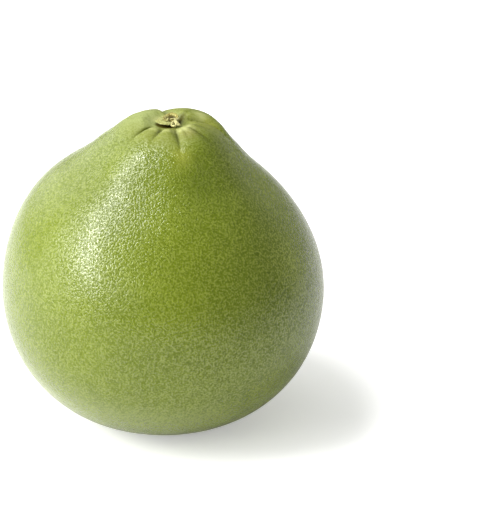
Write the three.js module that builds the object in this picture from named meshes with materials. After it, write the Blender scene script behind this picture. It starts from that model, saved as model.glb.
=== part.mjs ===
// A whole pomelo as picked: a broad, slightly pear-shaped fruit, with the dry calyx and the broken stub of
// its stalk in the creased hollow on top. It stands on the small flat spot at its blossom end.
// Millimetres and degrees, +Z up. The origin is the centre of the flat spot, +X is the side that the neck
// leans to, and -Y is the front. An azimuth is turned from +X towards +Y, as seen from above.
import * as THREE from "three";

// The body: an ellipsoid, fuller below its widest level, with a low neck raised on it.
const BELLY_RADIUS = 81;
const UPPER_RISE = 79.5; // from the widest level to the top of the body under the neck
const LOWER_DROP = 69.4; // from the widest level down to where the round base would end
const LOWER_FULLNESS = 2.5; // exponent of the base: 2 is an ellipse, and more is squarer
const SHOULDER_TILT = 9.4; // how much the shoulder on -X stands higher than the one on +X
const NECK_RISE = 9.4;
const NECK_RADIUS = 37; // where the neck has fallen to about a third of its rise
const NECK_SQUARENESS = 5.5;
const NECK_LEAN = 4.2; // how far the neck's axis stands off the body's, towards +X
const FLAT_RADIUS = 16; // the flat spot that the fruit stands on

// The hollow that holds the calyx: a level seat with a short slope round it, gentler at the back left.
const SEAT_RADIUS = 5.8;
const SEAT_DEPTH = 1.2; // below the top of the body and neck together
const HOLLOW_RADIUS = 9.2;
const GENTLE_AZIMUTH = 150;
const GENTLE_START = 0.8; // how much nearer the slope starts on its gentle side
const GENTLE_END = 4.5; // and how much further out it ends

// The creases that run out of the hollow, going round from +X, and the lobe that follows each of them.
// azimuth is a crease's place where it starts and turn is how far it bends on its way out to end. lobe is
// the height of the lobe, which falls away past reach. A skew over 1 puts its crest nearer the next crease,
// and a roundness under 1 makes it flatter on top and steeper at its sides.
const CREASES = [
  { azimuth: 30, turn: -24, end: 24, depth: 0.6, width: 2.4,
    lobe: 3.4, reach: 21.5, skew: 0.85, roundness: 0.7 },
  { azimuth: 98, turn: 6, end: 27, depth: 2.6, width: 2.8,
    lobe: 2.8, reach: 19.5, skew: 0.42, roundness: 0.7 },
  { azimuth: 202, turn: 19, end: 26, depth: 1.1, width: 0.9,
    lobe: 0.9, reach: 16, skew: 0.9, roundness: 0.6 },
  { azimuth: 240.5, turn: 4, end: 21, depth: 1.0, width: 0.9,
    lobe: 1.2, reach: 15, skew: 0.9, roundness: 0.7 },
  { azimuth: 281, turn: 1, end: 29, depth: 1.3, width: 1.1,
    lobe: 2.0, reach: 21, skew: 1, roundness: 0.8 },
];
const CREASE_START = 8; // radius at which a crease stands at its azimuth
const CREASE_OPENING = 3; // and how far past it the crease is fully open
const LOBE_START = 6.5; // the lobes rise from here
const LOBE_TOP = 11.5; // to here
const LOBE_FALL = 12; // and fall away over this much past their reach

// Broad flutes down the shoulder: how many go round the fruit, the azimuth of one crest, and the height.
const FLUTES = [
  { count: 3, azimuth: 75, height: 0.5 },
  { count: 5, azimuth: 20, height: 0.55 },
  { count: 8, azimuth: 5, height: 0.25 },
];
const FLUTE_RADIUS = 50; // where they are at their fullest, on the way down from the neck
const FLUTE_SPREAD = 26;

// The calyx: a dry dome on a short foot, with a wavy brim. The stub stands on it, off its centre.
// Each row of the two profiles is a ring: its radius, its height, and its share of the shift to the stub.
const CALYX_PLACE = [1.6, 0.3];
const CALYX_HEIGHT = 2.6;
const CALYX_PROFILE = [
  [0, CALYX_HEIGHT, 1],
  [3.6, CALYX_HEIGHT, 1],
  [4.6, 2.4, 0.6],
  [5.5, 2.0, 0.25],
  [6.0, 1.7, 0],
  [6.1, 1.5, 0],
  [5.7, 1.3, 0],
  [4.9, 1.0, 0],
  [4.2, 0.5, 0],
  [4.1, 0, 0],
  [0, 0, 0],
];
const CALYX_BRIM = { waves: 5, azimuth: 180, height: 0.3 }; // its lobes, the azimuth of one, and their reach
const STUB_SHIFT = [2.3, 0.1];
const STUB_PROFILE = [
  [0, 0.5, 0],
  [1.5, 0.5, 0],
  [2.3, 0.65, 0],
  [2.8, 1.2, 0],
  [3.2, 1.45, 0],
  [3.6, 1.3, 0],
  [3.75, 0.8, 0],
  [3.5, 0.2, 0],
  [3.4, 0, 0],
  [0, 0, 0],
];
const STUB_SIDES = { waves: 3, azimuth: 20, height: 0.14 }; // it is slightly three-sided
const STUB_SLANT = 0.75; // how much higher its rim stands at the back, and how much lower at the front
const STUB_SLANT_FROM = 0.6; // it slants fully above this height

// Mesh fineness.
const SEGMENTS = 112; // round the fruit
const NECK_ZONE = 40; // radius inside which the rings are close
const NECK_RINGS = 27;
const BODY_RINGS = 24; // from there down to the flat spot
const SMALL_SEGMENTS = 48; // round the calyx and the stub

const TURN = 2 * Math.PI;
// The widest level stands this far above the flat spot.
const BELLY_HEIGHT = LOWER_DROP * Math.sqrt(1 - (FLAT_RADIUS / BELLY_RADIUS) ** LOWER_FULLNESS);
const SEAT_HEIGHT = BELLY_HEIGHT + UPPER_RISE + NECK_RISE - SEAT_DEPTH;

const { clamp, degToRad, euclideanModulo, lerp, smoothstep } = THREE.MathUtils;

/** A closed mesh over rings of points. at(0, ...) and at(last, ...) are its poles, seen as single points. */
function ringMesh(last, segments, at) {
  const positions = [...at(0, 0)];
  for (let ring = 1; ring < last; ring++) {
    for (let segment = 0; segment < segments; segment++) {
      positions.push(...at(ring, (segment / segments) * TURN));
    }
  }
  positions.push(...at(last, 0));
  const bottomPole = positions.length / 3 - 1;
  const vertex = (ring, segment) => 1 + (ring - 1) * segments + (segment % segments);
  const index = [];
  for (let segment = 0; segment < segments; segment++) {
    index.push(0, vertex(1, segment), vertex(1, segment + 1));
    for (let ring = 1; ring < last - 1; ring++) {
      const [upper, upperNext] = [vertex(ring, segment), vertex(ring, segment + 1)];
      const [lower, lowerNext] = [vertex(ring + 1, segment), vertex(ring + 1, segment + 1)];
      index.push(upper, lower, lowerNext, upper, lowerNext, upperNext);
    }
    index.push(bottomPole, vertex(last - 1, segment + 1), vertex(last - 1, segment));
  }
  const geometry = new THREE.BufferGeometry();
  geometry.setAttribute("position", new THREE.Float32BufferAttribute(positions, 3));
  geometry.setIndex(index);
  geometry.computeVertexNormals();
  return geometry;
}

// --- the fruit ---

/** A point of the smooth skin above the widest level, at a radius from the neck's leaning axis. */
function upperSkin(radius, azimuth) {
  const share = Math.min(radius / BELLY_RADIUS, 1);
  const dome = Math.sqrt(1 - share ** 2);
  const rise = UPPER_RISE - SHOULDER_TILT * Math.cos(azimuth) * share ** 2;
  const neck = NECK_RISE * Math.exp(-((radius / NECK_RADIUS) ** NECK_SQUARENESS));
  return new THREE.Vector3(
    radius * Math.cos(azimuth) + NECK_LEAN * (1 - share ** 2) ** 3,
    radius * Math.sin(azimuth),
    BELLY_HEIGHT + rise * dome + neck,
  );
}

/** A point of the smooth skin below the widest level. */
function lowerSkin(radius, azimuth) {
  const dome = Math.sqrt(1 - (radius / BELLY_RADIUS) ** LOWER_FULLNESS);
  const height = BELLY_HEIGHT - LOWER_DROP * dome;
  return new THREE.Vector3(radius * Math.cos(azimuth), radius * Math.sin(azimuth), height);
}

/** The azimuth of a crease at a radius, in radians. */
function creaseAzimuth(crease, radius) {
  const out = clamp((radius - CREASE_START) / (crease.end - CREASE_START), 0, 1.2);
  return degToRad(crease.azimuth + crease.turn * out);
}

/** The height of the lobe between a crease and the next one. */
function lobeHeight(crease, next, radius, azimuth) {
  const start = creaseAzimuth(crease, radius);
  const span = euclideanModulo(creaseAzimuth(next, radius) - start, TURN);
  const across = euclideanModulo(azimuth - start, TURN) / span;
  if (across >= 1) return 0;
  const section = Math.sin(Math.PI * across ** crease.skew) ** crease.roundness;
  const risen = smoothstep(radius, LOBE_START, LOBE_TOP);
  const left = 1 - smoothstep(radius, crease.reach, crease.reach + LOBE_FALL);
  return crease.lobe * section * risen * left;
}

/** How deep a crease cuts: at its deepest near the hollow, and nothing from its end on. */
function creaseDepth(crease, radius, azimuth) {
  const turned = euclideanModulo(azimuth - creaseAzimuth(crease, radius) + Math.PI, TURN) - Math.PI;
  const away = Math.abs(radius * turned);
  const opened = smoothstep(radius, CREASE_START, CREASE_START + CREASE_OPENING);
  const left = 1 - smoothstep(radius, 0.45 * crease.end, crease.end);
  return crease.depth * opened * left * Math.exp(-away / crease.width);
}

/** The height of the broad flutes. The radius goes on growing past the widest level, down the base. */
function fluteHeight(radius, azimuth) {
  const fluted = Math.exp(-(((radius - FLUTE_RADIUS) / FLUTE_SPREAD) ** 2));
  const wave = (flute) => flute.height * Math.cos(flute.count * (azimuth - degToRad(flute.azimuth)));
  return fluted * FLUTES.reduce((sum, flute) => sum + wave(flute), 0);
}

/** How far the skin stands out of its smooth form: the lobes, less the creases, and the flutes. */
function relief(radius, azimuth) {
  let height = fluteHeight(radius, azimuth);
  CREASES.forEach((crease, place) => {
    const next = CREASES[(place + 1) % CREASES.length];
    height += lobeHeight(crease, next, radius, azimuth) - creaseDepth(crease, radius, azimuth);
  });
  return height;
}

/** The skin's outward direction at a point of the upper half. */
function upperNormal(radius, azimuth) {
  const step = 0.01;
  const outward = upperSkin(radius + step, azimuth).sub(upperSkin(radius - step, azimuth));
  const round = upperSkin(radius, azimuth + step).sub(upperSkin(radius, azimuth - step));
  return outward.cross(round).normalize();
}

/** How far a point has come up out of the calyx's hollow, from 0 on the seat to 1. */
function outOfHollow(point) {
  const [x, y] = [point.x - CALYX_PLACE[0], point.y - CALYX_PLACE[1]];
  const gentle = ((1 + Math.cos(Math.atan2(y, x) - degToRad(GENTLE_AZIMUTH))) / 2) ** 1.5;
  const start = SEAT_RADIUS - GENTLE_START * gentle;
  return smoothstep(Math.hypot(x, y), start, HOLLOW_RADIUS + GENTLE_END * gentle);
}

/** A finished point of the upper half, with the relief and the calyx's hollow. */
function upperPoint(radius, azimuth) {
  const point = upperSkin(radius, azimuth);
  point.addScaledVector(upperNormal(radius, azimuth), relief(radius, azimuth));
  point.z = lerp(SEAT_HEIGHT, point.z, outOfHollow(point));
  return point;
}

/** A finished point of the lower half, where the flutes die out. */
function lowerPoint(radius, azimuth) {
  const outward = new THREE.Vector3(Math.cos(azimuth), Math.sin(azimuth), 0);
  const height = fluteHeight(2 * BELLY_RADIUS - radius, azimuth);
  return lowerSkin(radius, azimuth).addScaledVector(outward, height);
}

/** The fruit in one piece: rings out from the seat to the widest level, then in to the flat spot. */
function fruitGeometry() {
  const last = NECK_RINGS + BODY_RINGS + 1;
  const polarStart = Math.asin(NECK_ZONE / BELLY_RADIUS);
  const polarEnd = Math.PI - Math.asin(FLAT_RADIUS / BELLY_RADIUS);
  return ringMesh(last, SEGMENTS, (ring, azimuth) => {
    if (ring === 0) return new THREE.Vector3(NECK_LEAN, 0, SEAT_HEIGHT);
    if (ring === last) return new THREE.Vector3(0, 0, 0);
    if (ring <= NECK_RINGS) return upperPoint((ring / NECK_RINGS) * NECK_ZONE, azimuth);
    const polar = lerp(polarStart, polarEnd, (ring - NECK_RINGS) / BODY_RINGS);
    const radius = BELLY_RADIUS * Math.sin(polar);
    if (polar < Math.PI / 2) return upperPoint(radius, azimuth);
    const point = lowerPoint(radius, azimuth);
    return ring === last - 1 ? point.setZ(0) : point;
  });
}

// --- the calyx and the stub ---

/** A closed piece over the rings of a profile, with waves round its outermost rings and a slanted top. */
function turnedGeometry(profile, edge, slant) {
  const widest = Math.max(...profile.map(([radius]) => radius));
  return ringMesh(profile.length - 1, SMALL_SEGMENTS, (ring, azimuth) => {
    const [radius, height, shift] = profile[ring];
    const share = radius / widest;
    const wave = Math.cos(edge.waves * (azimuth - degToRad(edge.azimuth)));
    const reach = radius + edge.height * share ** 4 * wave;
    const lift = slant * share * Math.sin(azimuth) * smoothstep(height, 0, STUB_SLANT_FROM);
    return new THREE.Vector3(
      reach * Math.cos(azimuth) + shift * STUB_SHIFT[0],
      reach * Math.sin(azimuth) + shift * STUB_SHIFT[1],
      height + lift,
    );
  });
}

const rind = new THREE.MeshStandardMaterial({ color: 0x8a9c3f, roughness: 0.42, metalness: 0 });
const driedCalyx = new THREE.MeshStandardMaterial({ color: 0x98945a, roughness: 0.8, metalness: 0 });
const dryWood = new THREE.MeshStandardMaterial({ color: 0xc2a566, roughness: 0.85, metalness: 0 });

const fruit = new THREE.Mesh(fruitGeometry(), rind);
fruit.name = "fruit";

const calyx = new THREE.Mesh(turnedGeometry(CALYX_PROFILE, CALYX_BRIM, 0), driedCalyx);
calyx.name = "calyx";
calyx.position.set(...CALYX_PLACE, SEAT_HEIGHT);

const stub = new THREE.Mesh(turnedGeometry(STUB_PROFILE, STUB_SIDES, STUB_SLANT), dryWood);
stub.name = "stem_stub";
stub.position.copy(calyx.position).add(new THREE.Vector3(...STUB_SHIFT, CALYX_HEIGHT));

const pomelo = new THREE.Group();
pomelo.add(fruit, calyx, stub);

export default pomelo;
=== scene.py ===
"""A whole pomelo: the pebbled rind, the dry calyx and the broken stub of the stalk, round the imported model.

Sizes are in millimetres in the classes below and become metres where a mesh is made. +Z is up, +X is the
side that the neck leans to and -Y is the front. An azimuth turns from +X towards +Y, seen from above.
"""

import logging
import math
from dataclasses import dataclass, replace
from enum import Enum
from typing import Any, Sequence

import bpy
import numpy as np
from mathutils import Matrix, Vector


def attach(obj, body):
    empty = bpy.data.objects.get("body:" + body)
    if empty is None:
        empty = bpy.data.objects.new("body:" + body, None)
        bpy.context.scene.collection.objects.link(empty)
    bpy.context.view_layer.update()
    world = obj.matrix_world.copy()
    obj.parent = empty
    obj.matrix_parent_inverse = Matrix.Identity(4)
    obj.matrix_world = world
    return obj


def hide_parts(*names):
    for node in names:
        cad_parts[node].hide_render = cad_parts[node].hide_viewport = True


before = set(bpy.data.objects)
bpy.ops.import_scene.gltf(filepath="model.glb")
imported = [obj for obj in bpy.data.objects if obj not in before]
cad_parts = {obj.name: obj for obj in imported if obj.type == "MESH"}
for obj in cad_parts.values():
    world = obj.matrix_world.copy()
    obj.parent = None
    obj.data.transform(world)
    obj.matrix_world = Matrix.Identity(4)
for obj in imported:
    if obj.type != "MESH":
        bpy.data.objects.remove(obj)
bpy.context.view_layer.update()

MM = 0.001
TURN = 2 * math.pi
WHITE = (1.0, 1.0, 1.0, 1.0)
BODY = "root"

log = logging.getLogger("pomelo")
Colour = tuple[float, float, float]
Point = tuple[float, float, float]
Span = tuple[float, float]
Waves = tuple[tuple[int, float, float], ...]
Values = np.ndarray | float


class Slot(Enum):
    """The record's material slots."""

    RIND = "rind"
    DRIED_CALYX = "dried_calyx"
    DRY_WOOD = "dry_wood"


# --- small helpers ---


def smoothstep(value: Values, low: Values, high: Values) -> np.ndarray:
    """A smooth rise from 0 at low to 1 at high."""
    share = np.clip((np.asarray(value, float) - low) / (high - low), 0.0, 1.0)
    return share * share * (3 - 2 * share)


def bell(value: np.ndarray, middle: float, spread: float) -> np.ndarray:
    """A bell curve that is 1 at middle and about a third at spread from it."""
    return np.exp(-(((value - middle) / spread) ** 2))


def turn_between(start: Values, end: Values) -> np.ndarray:
    """The angle from one azimuth to another, from -pi to pi."""
    return np.mod(np.asarray(end) - start + math.pi, TURN) - math.pi


def wavy(azimuth: np.ndarray, waves: Waves) -> np.ndarray:
    """A sum of waves round a circle: how many, their height, and the azimuth of a crest in degrees."""
    return sum(height * np.cos(count * (azimuth - math.radians(crest))) for count, height, crest in waves)


def way_along(points: np.ndarray) -> np.ndarray:
    """How far along a line each of its points lies."""
    return np.concatenate([[0], np.cumsum(np.linalg.norm(np.diff(points, axis=0), axis=1))])


def mesh_object(name: str, points: np.ndarray, faces: np.ndarray | list,
                attributes: dict[str, np.ndarray] | None = None,
                edges: list[tuple[int, int]] | None = None) -> bpy.types.Object:
    """Makes a smooth mesh object at the origin.

    Args:
        name: the piece's name.
        points: its points in millimetres, one row each.
        faces: rows of point numbers, counterclockwise seen from outside.
        attributes: values for each point, by name, for the materials and Geometry Nodes.
        edges: pairs of point numbers, where the mesh has paths and no faces.

    Returns:
        The linked object.
    """
    mesh = bpy.data.meshes.new(name)
    corners = [list(map(int, face)) for face in faces]
    mesh.from_pydata((np.asarray(points) * MM).tolist(), edges or [], corners)
    for label, values in (attributes or {}).items():
        layer = mesh.attributes.new(label, "FLOAT", "POINT")
        layer.data.foreach_set("value", np.asarray(values, np.float32))
    mesh.polygons.foreach_set("use_smooth", [True] * len(mesh.polygons))
    mesh.update()
    made = bpy.data.objects.new(name, mesh)
    bpy.context.scene.collection.objects.link(made)
    return made


def ring(middle: Sequence[float], azimuth: np.ndarray, reach: Values, height: Values) -> np.ndarray:
    """A ring of points round a middle, by their distance out from it and their height over it."""
    across, along = reach * np.cos(azimuth), reach * np.sin(azimuth)
    return np.stack([middle[0] + across, middle[1] + along, middle[2] + height + 0 * azimuth], -1)


def closed(rows: Sequence[np.ndarray]) -> np.ndarray:
    """The rows of all rings as one table, in which the first and the last ring are single points."""
    return np.concatenate([rows[0][:1], *rows[1:-1], rows[-1][:1]])


def ring_mesh(name: str, rings: Sequence[np.ndarray],
              attributes: dict[str, Sequence[np.ndarray]]) -> bpy.types.Object:
    """Makes a closed object from rings of points that run from a pole on top to a pole below.

    Args:
        name: the piece's name.
        rings: equal rings of points, anticlockwise from above. The first and the last are the poles.
        attributes: a row of values for each ring, by name.

    Returns:
        The linked object.
    """
    around = len(rings[0])
    last_pole = 1 + around * (len(rings) - 2)
    bottom = last_pole - around
    faces: list[list[int]] = []
    for k in range(around):
        after = (k + 1) % around
        faces.append([0, 1 + k, 1 + after])
        for upper in range(1, bottom, around):
            lower = upper + around
            faces.append([upper + k, lower + k, lower + after, upper + after])
        faces.append([last_pole, bottom + after, bottom + k])
    values = {label: closed(rows) for label, rows in attributes.items()}
    return mesh_object(name, closed(rings), faces, values)


class Tree:
    """A node tree being built, whose sockets take values, nodes or other sockets alike."""

    def __init__(self, tree: bpy.types.NodeTree) -> None:
        """Starts from an empty tree."""
        self.tree = tree
        self.tree.nodes.clear()

    def feed(self, socket: bpy.types.NodeSocket, value: Any) -> None:
        """Links a node or a socket to a socket, or sets its value.

        Args:
            socket: the socket that is fed.
            value: a node, a socket or a plain value.
        """
        if isinstance(value, bpy.types.Node):
            value = value.outputs[0]
        if isinstance(value, bpy.types.NodeSocket):
            self.tree.links.new(value, socket)
        else:
            socket.default_value = value

    def add(self, kind: str, inputs: dict[str | int, Any] | None = None, **settings: Any) -> bpy.types.Node:
        """Adds a node.

        Args:
            kind: the node's type.
            inputs: what its sockets get, by name or number.
            **settings: its properties.

        Returns:
            The node.
        """
        node = self.tree.nodes.new(kind)
        for name, value in settings.items():
            setattr(node, name, value)
        for name, value in (inputs or {}).items():
            self.feed(node.inputs[name], value)
        return node

    def math(self, operation: str, *values: Any) -> bpy.types.Node:
        """A Math node on up to three values."""
        return self.add("ShaderNodeMath", dict(enumerate(values)), operation=operation)

    def times(self, first: Any, second: Any) -> bpy.types.Node:
        """The product of two numbers."""
        return self.math("MULTIPLY", first, second)

    def scaled(self, vector: Any, scale: Any) -> bpy.types.Node:
        """A vector times a number."""
        return self.add("ShaderNodeVectorMath", {0: vector, "Scale": scale}, operation="SCALE")

    def shifted(self, vector: Any, shift: Any) -> bpy.types.Node:
        """A vector moved along X by a number."""
        return self.add("ShaderNodeVectorMath", {0: vector, 1: self.add("ShaderNodeCombineXYZ", {0: shift})})

    def rise(self, value: Any, low: Any, high: Any, start: Any = 0.0, end: Any = 1.0) -> bpy.types.Node:
        """A smooth change from start to end as a value goes from low to high."""
        inputs = {"Value": value, "From Min": low, "From Max": high, "To Min": start, "To Max": end}
        return self.add("ShaderNodeMapRange", inputs, interpolation_type="SMOOTHSTEP")

    def noise(self, vector: Any, scale: Any, detail: float = 2.0, rough: float = 0.5) -> bpy.types.Node:
        """Soft random values round a half."""
        inputs = {"Vector": vector, "Scale": scale, "Detail": detail, "Roughness": rough}
        return self.add("ShaderNodeTexNoise", inputs)

    def cells(self, vector: Any, scale: Any, scatter: float, softness: float = 0.0) -> bpy.types.Node:
        """Random cells.

        Args:
            vector: the place.
            scale: how many of them stand in a unit of length.
            scatter: how far they stray from even rows, from 0 to 1.
            softness: how far the borders between them are rounded, from 0 to 1.

        Returns:
            The node, whose first output is the distance from the middle of the nearest cell.
        """
        inputs = {"Vector": vector, "Scale": scale, "Randomness": scatter}
        if softness:
            return self.add("ShaderNodeTexVoronoi", inputs | {"Smoothness": softness}, feature="SMOOTH_F1")
        return self.add("ShaderNodeTexVoronoi", inputs)

    def mix(self, share: Any, first: Any, second: Any) -> bpy.types.NodeSocket:
        """Two colours mixed by a share."""
        return self.add("ShaderNodeMix", {0: share, 6: first, 7: second}, data_type="RGBA").outputs[2]

    def attribute(self, name: str) -> bpy.types.NodeSocket:
        """The numbers that a piece carries under a name, for a material."""
        return self.add("ShaderNodeAttribute", attribute_name=name).outputs["Fac"]

    def bump(self, depth: float, height: Any, strength: Any = 1.0, over: Any = None) -> bpy.types.Node:
        """A bump as deep as its millimetres, over another one where that is given."""
        inputs = {"Distance": depth * MM, "Strength": strength, "Height": height}
        return self.add("ShaderNodeBump", inputs | ({"Normal": over} if over else {}))

    def seen(self) -> bpy.types.NodeSocket:
        """One for what the camera sees directly, and nothing for what only lights or is mirrored."""
        return self.add("ShaderNodeLightPath").outputs["Is Camera Ray"]

    def surface(self, inputs: dict[str, Any]) -> None:
        """Ends a material with its surface."""
        self.add("ShaderNodeOutputMaterial", {"Surface": self.add("ShaderNodeBsdfPrincipled", inputs)})


def rgba(colour: Colour) -> tuple[float, float, float, float]:
    """A colour with full cover."""
    return (*colour, 1.0)


def new_material(name: str) -> tuple[bpy.types.Material, Tree]:
    """Makes a material.

    Args:
        name: its name.

    Returns:
        The material, and its empty tree.
    """
    made = bpy.data.materials.new(name)
    made.use_nodes = True
    return made, Tree(made.node_tree)


# --- the form of the fruit ---


@dataclass(frozen=True)
class Crease:
    """A crease that runs out of the hollow, and the lobe of rind that follows it.

    azimuth is its place where it starts and turn is how far it bends on its way out to end, in degrees.
    The lobe falls away past reach. A skew over 1 puts the lobe's crest nearer the next crease, and a
    roundness under 1 makes it flatter on top and steeper at its sides. The fold field gives how dark the
    painted shade along its bottom is.
    It is whole up to that share of its end, and goes on bending for overrun times its length.
    """

    azimuth: float
    turn: float
    end: float
    depth: float
    width: float
    lobe: float = 0.0
    reach: float = 20.0
    skew: float = 1.0
    roundness: float = 0.7
    start: float = 8.0
    fold_shade: float = 1.0
    overrun: float = 1.2
    whole: float = 0.45

    def at(self, radius: np.ndarray) -> np.ndarray:
        """The crease's azimuth at each radius, in radians."""
        out = np.clip((radius - self.start) / (self.end - self.start), 0.0, self.overrun)
        return np.radians(self.azimuth + self.turn * out)


@dataclass
class PomeloForm:
    """The fruit's smooth form and its relief, in millimetres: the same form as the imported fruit's.

    In its methods, radius is the distance of each point from the neck's axis and azimuth is in radians.
    """

    belly_radius: float = 81.0
    upper_rise: float = 79.5
    lower_drop: float = 69.4
    lower_fullness: float = 2.5
    shoulder_tilt: float = 9.4
    neck_rise: float = 9.4
    neck_radius: float = 37.0
    neck_squareness: float = 5.5
    neck_lean: float = 4.2
    flat_radius: float = 16.0
    seat_radius: float = 5.8
    seat_depth: float = 1.2
    hollow_radius: float = 9.2
    gentle_azimuth: float = 150.0
    gentle_start: float = 0.8
    gentle_end: float = 4.5
    gentle_power: float = 1.5
    calyx_place: Span = (1.6, 0.3)
    creases: tuple[Crease, ...] = (
        Crease(30, -24, 24, 0.6, 2.4, lobe=3.4, reach=21.5, skew=0.85),
        Crease(98, 6, 27, 2.6, 2.8, lobe=2.8, reach=19.5, skew=0.42),
        Crease(202, 19, 26, 1.1, 0.9, lobe=0.9, reach=16, skew=0.9, roundness=0.6, fold_shade=1.6),
        Crease(240.5, 4, 21, 1.0, 0.9, lobe=1.2, reach=15, skew=0.9, fold_shade=1.1),
        Crease(281, 1, 29, 1.3, 1.1, lobe=2.0, reach=21, roundness=0.8, fold_shade=0.55),
    )
    crease_opening: float = 3.0
    lobe_start: float = 6.5
    lobe_top: float = 11.5
    lobe_fall: float = 12.0
    flutes: Waves = ((3, 0.5, 75), (5, 0.55, 20), (8, 0.25, 5))
    flute_radius: float = 50.0
    flute_spread: float = 26.0
    normal_step: float = 0.01

    @property
    def belly_height(self) -> float:
        """How far the widest level stands above the flat spot."""
        return self.lower_drop * math.sqrt(1 - (self.flat_radius / self.belly_radius) ** self.lower_fullness)

    @property
    def seat_height(self) -> float:
        """The level of the calyx's seat."""
        return self.belly_height + self.upper_rise + self.neck_rise - self.seat_depth

    def upper_skin(self, radius: np.ndarray, azimuth: np.ndarray) -> np.ndarray:
        """The smooth skin above the widest level.

        Args:
            radius: the points' radii.
            azimuth: their azimuths.

        Returns:
            The points, one row each.
        """
        share = np.clip(radius / self.belly_radius, 0.0, 1.0)
        rise = self.upper_rise - self.shoulder_tilt * np.cos(azimuth) * share**2
        neck = self.neck_rise * np.exp(-((np.maximum(radius, 0) / self.neck_radius) ** self.neck_squareness))
        x = radius * np.cos(azimuth) + self.neck_lean * (1 - share**2) ** 3
        z = self.belly_height + rise * np.sqrt(1 - share**2) + neck
        return np.stack([x, radius * np.sin(azimuth), z], -1)

    def lower_skin(self, radius: np.ndarray, azimuth: np.ndarray) -> np.ndarray:
        """The smooth skin below the widest level.

        Args:
            radius: the points' radii.
            azimuth: their azimuths.

        Returns:
            The points, one row each.
        """
        dome = np.sqrt(np.clip(1 - (radius / self.belly_radius) ** self.lower_fullness, 0.0, 1.0))
        height = np.maximum(self.belly_height - self.lower_drop * dome, 0.0)
        return ring((0, 0, 0), azimuth, radius, height)

    def upper_normal(self, radius: np.ndarray, azimuth: np.ndarray) -> np.ndarray:
        """The smooth skin's outward direction above the widest level.

        Args:
            radius: the points' radii.
            azimuth: their azimuths.

        Returns:
            The directions, one row each.
        """
        step = self.normal_step
        outward = self.upper_skin(radius + step, azimuth) - self.upper_skin(radius - step, azimuth)
        around = self.upper_skin(radius, azimuth + step) - self.upper_skin(radius, azimuth - step)
        normal = np.cross(outward, around)
        return normal / np.maximum(np.linalg.norm(normal, axis=-1, keepdims=True), 1e-9)

    def lobes(self, radius: np.ndarray, azimuth: np.ndarray) -> np.ndarray:
        """The lobes between the creases.

        Args:
            radius: the points' radii.
            azimuth: their azimuths.

        Returns:
            The lobes' height at each point.
        """
        height = np.zeros_like(radius)
        risen = smoothstep(radius, self.lobe_start, self.lobe_top)
        for crease, following in zip(self.creases, self.creases[1:] + self.creases[:1]):
            start = crease.at(radius)
            span = np.mod(following.at(radius) - start, TURN)
            across = np.mod(azimuth - start, TURN) / span
            section = np.sin(math.pi * np.clip(across, 0, 1) ** crease.skew) ** crease.roundness
            left = 1 - smoothstep(radius, crease.reach, crease.reach + self.lobe_fall)
            height += np.where(across < 1, crease.lobe * section * risen * left, 0.0)
        return height

    def crease_cut(self, crease: Crease, radius: np.ndarray, azimuth: np.ndarray) -> np.ndarray:
        """The section of a crease.

        Args:
            crease: the crease.
            radius: the points' radii.
            azimuth: their azimuths.

        Returns:
            How much of its depth it has at each point, from 0 to 1.
        """
        away = np.abs(radius * turn_between(crease.at(radius), azimuth))
        opened = smoothstep(radius, crease.start, crease.start + self.crease_opening)
        left = 1 - smoothstep(radius, crease.whole * crease.end, crease.end)
        return opened * left * np.exp(-away / crease.width)

    def out_of_hollow(self, points: np.ndarray) -> np.ndarray:
        """The slope of the calyx's hollow, which is gentle at the back left.

        Args:
            points: points of the skin.

        Returns:
            How far each one has risen out of the hollow, from 0 to 1.
        """
        x, y = (points[..., k] - self.calyx_place[k] for k in (0, 1))
        turned = np.arctan2(y, x) - math.radians(self.gentle_azimuth)
        gentle = ((1 + np.cos(turned)) / 2) ** self.gentle_power
        end = self.hollow_radius + self.gentle_end * gentle
        return smoothstep(np.hypot(x, y), self.seat_radius - self.gentle_start * gentle, end)

    def flutings(self, radius: np.ndarray, azimuth: np.ndarray) -> np.ndarray:
        """The height of the broad flutes. The radius goes on growing past the widest level, on the base."""
        return wavy(azimuth, self.flutes) * bell(radius, self.flute_radius, self.flute_spread)


# --- finishes ---


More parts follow.
